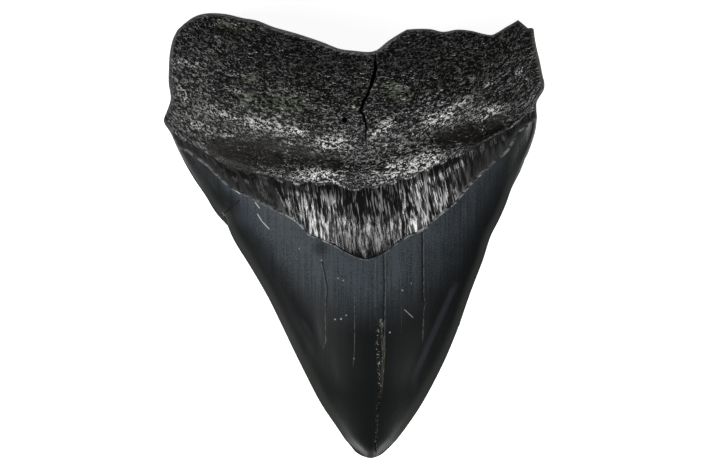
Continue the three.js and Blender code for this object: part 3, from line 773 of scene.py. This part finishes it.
enamel_colour = shop.blend(pale_lines * above * 0.8, enamel_colour, LINE_GREY)
# painted highlights: soft blue-grey streaks where the enamel catches the light
painted_highlight_streaks = most(
    hairline([(27.4, -13.2), (23.1, -22.7), (18.2, -33.8), (16.3, -38.6)], 0.9, 7) * 0.3,
    speck(-28, 6.5, 5) * 0.25, hairline([(-13.9, -22.7), (-10.9, -27.8)], 0.7, 4) * 0.15)
enamel_colour = shop.blend(painted_highlight_streaks * above, enamel_colour, HIGHLIGHT_BLUE)
nicks = most(scratch((-29.3, 12), (-25.5, 10), 0.14), scratch((-31.9, 12.4), (-30.6, 11.4), 0.13),
             scratch((-26.5, 9.1), (-25.3, 7.5), 0.13), scratch((-25.9, 6), (-24.7, 4), 0.13),
             scratch((-24.7, 4), (-22.7, 1.9), 0.13), scratch((13.6, -19.7), (16, -21.9), 0.1) * 0.7)
specks = specks_at(
    (-8.6, -6.5, 0.25), (-5, -22.4, 0.3), (-3.4, -22.3, 0.35), (-2, -21.3, 0.25), (-4.2, -11.3, 0.25),
    (-2.8, -11.9, 0.25), (9.75, -25.9, 0.3), (13.1, -14.6, 0.28), (15.5, -12.7, 0.2),
    (6.5, -46.4, 0.28), (6.35, -50.9, 0.25), (6.3, -52.1, 0.25), (-25.4, 9.4, 0.3),
    (-28, 13.2, 0.25), (-14.6, -3.4, 0.22), (0.1, -33, 0.2))
enamel_colour = shop.blend(nicks * above * 0.9, enamel_colour, SCRATCH_WHITE)
enamel_colour = shop.blend(specks * above * 0.8, enamel_colour, SPECK_WHITE)

# colour of the sediment in the tip's crack and beside it: dark with pale olive grains
CRACK_BLACK = (0.0015, 0.0015, 0.001)
PALE_OLIVE = (0.3, 0.29, 0.22)
CRUMB_WHITE = (0.3, 0.3, 0.26)
CRUMB_OLIVE = (0.13, 0.12, 0.07)
sediment_grain = shop.noise(in_mm, 1.7, 2.0, 0.6)
crumbs = sediment_grain.step(0.56, 0.66)
sediment = shop.blend(crumbs * y.step(-40, -46, 0.35, 1), CRACK_BLACK, PALE_OLIVE)
enamel_colour = shop.blend(shop.mark("tip crack"), enamel_colour, sediment)
left_crumbs = hairline([(6.7, -23.8), (6.2, -28.4), (6.6, -32.1), (7, -36.7), (7, -42)], 0.4) * crumbs
right_crumbs = hairline([(8.35, -30), (8.2, -34), (7.8, -39), (7.6, -42)], 0.22) * (0.3 + crumbs * 0.7)
enamel_colour = shop.blend(left_crumbs * above * 0.8, enamel_colour, CRUMB_WHITE)
enamel_colour = shop.blend(right_crumbs * above * 0.6, enamel_colour, CRUMB_OLIVE)

# colour of the bourlette: near black, with pale streaks that run towards the tip, painted brighter as
# highlights left and right of its middle, held back at the far sides by painted shade, a painted glow
# of highlight just above the enamel, painted shade in the groove under the ledge, and a fine painted
# highlight line where the enamel begins
SKIN_BLACK = (0.005, 0.005, 0.0048)
SKIN_PALE = (0.33, 0.335, 0.33)
SEAM_HIGHLIGHT_WHITE = (0.6, 0.61, 0.6)
FURROW_BLACK = (0.003, 0.003, 0.003)
GROOVE_SHADE = (0.002, 0.002, 0.002)
SEAM_HIGHLIGHT_GREY = (0.35, 0.36, 0.35)
streak_place = shop.add("ShaderNodeCombineXYZ", {}, {0: fan_w, 1: y * 0.13, 2: 0.0})
streaks = shop.noise(streak_place, 1.25, 2.0, 0.6, 0.2)
fine_streaks = shop.noise(streak_place, 2.6, 1.0, 0.5, 0.1)
all_streaks = streaks * 0.65 + fine_streaks * 0.35
streak_tops = all_streaks.step(0.5, 0.58)
furrows = all_streaks.step(0.53, 0.47)
# painted highlights where the streaks catch the lights, and painted shade at the far sides
left_zone = speck(-9, 4.5, 9) * 0.9
right_zone = speck(20, 8, 10.5) * 1.15
middle_zone = speck(5, 9.5, 9) * 0.5
low_zone = y.step(4, -1)
far_sides = most(x.step(-15, -22), x.step(26, 33))
highlight_zone = most(left_zone, right_zone, middle_zone, low_zone * 0.02)
streaks_and_highlights = streak_tops * (0.12 + highlight_zone * 0.75) * (1 - far_sides * 0.8)
skin_colour = shop.blend(streaks_and_highlights, SKIN_BLACK, SKIN_PALE)
# painted highlight: a pale glow just above the enamel's edge
seam_highlight = most(speck(-9, 0.2, 4), speck(17.6, 2.6, 4) * 0.8) * seam_w.step(4, 1.2)
skin_colour = shop.blend(seam_highlight * (0.25 + streak_tops * 0.75), skin_colour, SEAM_HIGHLIGHT_WHITE)
skin_colour = shop.blend(furrows * 0.8, skin_colour, FURROW_BLACK)
# painted shade: darker right under the root's ledge
groove_shade = abs(ledge_w).step(2.6, 0.6) * bourlette_w
skin_colour = shop.blend(groove_shade * 0.35, skin_colour, GROOVE_SHADE)
surface_colour = shop.blend(bourlette_w, enamel_colour, skin_colour)
# painted highlight: a fine pale line along the enamel's edge
highlight_line_places = specks_at(
    (-15, 3.5, 8), (-8.8, -0.8, 5), (16.4, 1.2, 5), (24, 7.5, 8), (31, 14, 7))
seam_highlight_line = abs(seam_w).step(0.5, 0.15) * dashes.step(0.42, 0.6) * (0.3 + highlight_line_places * 0.7)
surface_colour = shop.blend(seam_highlight_line * 0.8, surface_colour, SEAM_HIGHLIGHT_GREY)

# colour of the root: the grains' tops are worn paler than the pits between them; painted white glints
# lie along its ridges where they catch the lights, painted shade with a brown tint darkens hollows
# that turn away from the lights, olive sediment lies in some hollows, and painted shade darkens the
# outline
BONE_BLACK = (0.004, 0.004, 0.0037)
BONE_GREY = (0.13, 0.133, 0.126)
GLINT_WHITE = (0.55, 0.56, 0.54)
HOLLOW_SHADE_BROWN = (0.009, 0.0078, 0.0065)
OLIVE_LIGHT = (0.27, 0.29, 0.22)
OLIVE = (0.12, 0.135, 0.1)
GRAIN_OF_SAND = (0.5, 0.5, 0.38)
RIM_SHADE = (0.01, 0.013, 0.011)
FRACTURE_GREY = (0.06, 0.07, 0.055)
grain_tops = grown_grains(shop, along_growth(shop, place, GRAIN_LENGTH, GRAIN_SIZE), float(GRAIN_SEED))
strokes = shop.noise(along_growth(shop, place, 1.0, 0.66), 1.0, 0.0, 0.5, 0.9)
fine_grain = shop.noise(in_mm, 3.2, 1.0)
ridges = shop.noise(along_growth(shop, place, 4.6, 2.2), 1.0, 2.0, 0.6, 0.5)
ridge_tops = ridges.step(0.44, 0.62)
pale = (grain_tops * 0.2 + strokes * 0.35 + fine_grain * 0.45).step(0.5, 0.62)
patches = shop.noise(in_mm, 0.11, 2.0)
# painted highlights: places and ridge lines where the bone catches the lights, strewn with white glints
highlight_places = specks_at(
    (-43, 41, 7), (-44, 34, 5), (-30, 29.5, 7), (-20, 28.5, 6), (-11, 16.2, 7), (-4, 24.8, 6),
    (8.5, 17, 7), (17, 18.5, 8), (23, 31.5, 5), (30, 33.5, 5), (37, 34, 4), (-38, 49, 6),
    (30, 42, 3), (22, 21.5, 3))
# painted shade: hollows that turn away from the lights, darkened with a brown tint
shaded_places = specks_at(
    (-30, 21.5, 7.5), (-22, 22.5, 6), (-15, 21.5, 4), (24.5, 26.3, 4), (31, 27, 5),
    (38, 29.5, 4.5), (-6, 20.2, 4), (-12, 20.4, 4), (-36, 23.4, 4))
shaded_places = (shaded_places + (ridges - 0.5) * 1.6).step(0.25, 0.75) * shaded_places.step(0, 0.3) * above
bone_tone = pale * (0.35 + patches * 0.8) * (1 - shaded_places * 0.8)
bone_colour = shop.blend(bone_tone, BONE_BLACK, BONE_GREY)
# painted highlight lines along the ridges, which also raise the ridges in the relief below
ridges_and_highlights = most(*[scratch(start, end, width, 1.6) for start, end, width in (
    ((-48.2, 47), (-39.6, 45.6), 1), ((-46.8, 40.2), (-43.6, 35.4), 1.4),
    ((-39.6, 34.8), (-30.1, 30.8), 1.1), ((-30.1, 30.8), (-21.2, 29.4), 1.5),
    ((-21.2, 29.7), (-13.1, 27), 1.3), ((-44.1, 30.8), (-38.2, 28.4), 1.2),
    ((-35.5, 27.8), (-30.1, 26.5), 1), ((-33.9, 39.4), (-28, 37.8), 0.6),
    ((-32.8, 43.2), (-27.4, 42.4), 0.5), ((18.8, 30.2), (26.6, 33.5), 1.8),
    ((26.6, 34), (30.4, 36.7), 0.9), ((33.6, 31.9), (39, 34.6), 1.5),
    ((4.5, 26.7), (10.4, 30.8), 1.5), ((-9.6, 24.3), (-2.3, 25.1), 2),
    ((34.7, 40), (36.9, 41), 0.6), ((43.6, 43.5), (45, 44.8), 0.7),
    ((-14.4, 17.3), (-3.1, 15.3), 2), ((8.5, 17.2), (23.4, 21.1), 2.6))])
highlight_share = most(highlight_places * (0.05 + ridge_tops * 0.5) * x.step(-28, -8, 0.55, 1),
                  ridges_and_highlights * x.step(-30, -10, 0.6, 1))
painted_glints = (strokes * 0.5 + fine_grain * 0.5).step(0.5, 0.57) * highlight_share
bone_colour = shop.blend(painted_glints * above * 0.9, bone_colour, GLINT_WHITE)
bone_colour = shop.blend(shaded_places * 0.65, bone_colour, HOLLOW_SHADE_BROWN)
olive = most(scratch((-29, 36.4), (-14, 34.8), 2.2, 2), scratch((-29.5, 41.8), (-25.5, 42.3), 1.2, 1),
             scratch((8.5, 39.6), (15.5, 36.3), 1.8, 2), scratch((4.2, 39), (6.4, 41.2), 1.2, 1),
             scratch((-36, 56.4), (-28, 55.4), 1.2, 1) * 0.6)
olive = olive * (strokes * 0.5 + ridges * 0.5).step(0.4, 0.56)
bone_colour = shop.blend(olive * pale * above * 0.8, bone_colour, OLIVE_LIGHT)
bone_colour = shop.blend(olive * above * 0.8, bone_colour, OLIVE)
bone_colour = shop.blend(speck(0, 34.2, 0.5) * above, bone_colour, GRAIN_OF_SAND)
# painted shade: the outline is darkened to tone down its reflection of the table
bone_rim = edge_w.step(1.4, 0.6)
bone_colour = shop.blend(bone_rim * 0.6, bone_colour, RIM_SHADE)
fracture = edge_w.step(1.7, 0.9) * x.step(44, 46) * y.step(38, 42)
bone_colour = shop.blend(fracture * 0.6, bone_colour, FRACTURE_GREY)
final_colour = shop.blend(root_w, surface_colour, bone_colour)

# relief in millimetres that is too fine for the mesh, and two finishes side by side: tops are
# polished, and pits, furrows, hollows and the thin edges are dull
ENAMEL_ROUGHNESS = 0.22
ROOT_SMOOTHER_BY = 0.12
SKIN_SMOOTHER_BY = 0.05
bone_relief = (strokes * 0.44 + ridges * 0.7 + ridges_and_highlights * 0.3) * root_w
skin_relief = (streaks * 0.5 + fine_streaks * 0.15) * bourlette_w * 0.4
relief = bone_relief + skin_relief + bands_w * enamel_w * 0.012
bump = shop.add("ShaderNodeBump", {}, {"Strength": 1.0, "Distance": 0.001, "Height": relief})
roughness = (ENAMEL_ROUGHNESS - root_w * ROOT_SMOOTHER_BY - bourlette_w * SKIN_SMOOTHER_BY
             + bone_rim * root_w * 0.4 + shop.mark("tip crack") * 0.3)
finish = shop.add("ShaderNodeBsdfPrincipled", {}, {
    "Base Color": final_colour, "Roughness": roughness, "Normal": bump, "IOR": 1.5})
dull = shop.add("ShaderNodeBsdfPrincipled", {}, {
    "Base Color": final_colour, "Roughness": 0.9, "Specular IOR Level": 0.1})
pits = (strokes * 0.7 + fine_grain * 0.3).step(0.54, 0.46) * root_w
margin = edge_w.step(9, 4) * enamel_w * y.step(-26, -8)
dull_share = most(
    pits * 0.8, furrows * bourlette_w * 0.85, most(far_sides * 0.85, low_zone * 0.5) * bourlette_w,
    margin * 0.5, tip_edge_highlight * 0.8, y.step(-34, -44) * 0.65, bone_rim * root_w * 0.55,
    shaded_places * root_w * 0.7)
surface = shop.add("ShaderNodeMixShader", {}, {0: dull_share, 1: finish, 2: dull})
shop.add("ShaderNodeOutputMaterial", {}, {"Surface": surface})

# The tooth lies on a plain pale table under two soft lights from the tip's side, and the camera
# looks straight down on it.
VIEW_WIDTH = 0.19116
VIEW_LEVEL = 0.005  # where the view has that width
VIEW_OFFSET = 0.0001
LENS = 200
SENSOR = 36
TABLE = 3  # half the table's side
floor_mesh = bpy.data.meshes.new("table")
floor_mesh.from_pydata([(-TABLE, -TABLE, 0), (TABLE, -TABLE, 0), (TABLE, TABLE, 0), (-TABLE, TABLE, 0)],
                       [], [(0, 1, 2, 3)])
floor = bpy.data.objects.new("table", floor_mesh)
bpy.context.scene.collection.objects.link(floor)
paper = bpy.data.materials.new("paper")
paper.use_nodes = True
shop = Shop(paper.node_tree)
matt = shop.add("ShaderNodeBsdfPrincipled", {}, {
    "Base Color": (0.9, 0.9, 0.9, 1.0), "Roughness": 0.9, "Specular IOR Level": 0.1,
    "Emission Color": (1.0, 1.0, 1.0, 1.0), "Emission Strength": 0.92})
shop.add("ShaderNodeOutputMaterial", {}, {"Surface": matt})
floor.data.materials.append(paper)

camera_data = bpy.data.cameras.new("camera")
camera_data.lens = LENS
camera_data.sensor_width = SENSOR
camera_data.clip_end = 20
camera = bpy.data.objects.new("camera", camera_data)
camera.location = (0.0, VIEW_OFFSET, VIEW_LEVEL + VIEW_WIDTH * LENS / SENSOR)
bpy.context.scene.collection.objects.link(camera)
bpy.context.scene.camera = camera


def soft_light(name, place, size, watts):
    """A square lamp that faces the middle of the table."""
    data = bpy.data.lights.new(name, "AREA")
    data.shape = "RECTANGLE"
    data.size = data.size_y = size
    data.energy = watts
    lamp = bpy.data.objects.new(name, data)
    lamp.location = place
    lamp.rotation_euler = (-Vector(place)).to_track_quat("-Z", "Y").to_euler()
    bpy.context.scene.collection.objects.link(lamp)


soft_light("left box", (-0.35, -0.65, 0.52), 0.35, 5.4)
soft_light("right box", (0.35, -0.65, 0.52), 0.35, 5.0)
soft_light("side box", (-0.7, -0.1, 0.5), 0.3, 1.4)
world = bpy.data.worlds.new("room")
bpy.context.scene.world = world
world.use_nodes = True
background = world.node_tree.nodes["Background"]
background.inputs["Color"].default_value = (1, 1, 1, 1)
background.inputs["Strength"].default_value = 0.05
bpy.context.scene.view_settings.view_transform = "Standard"
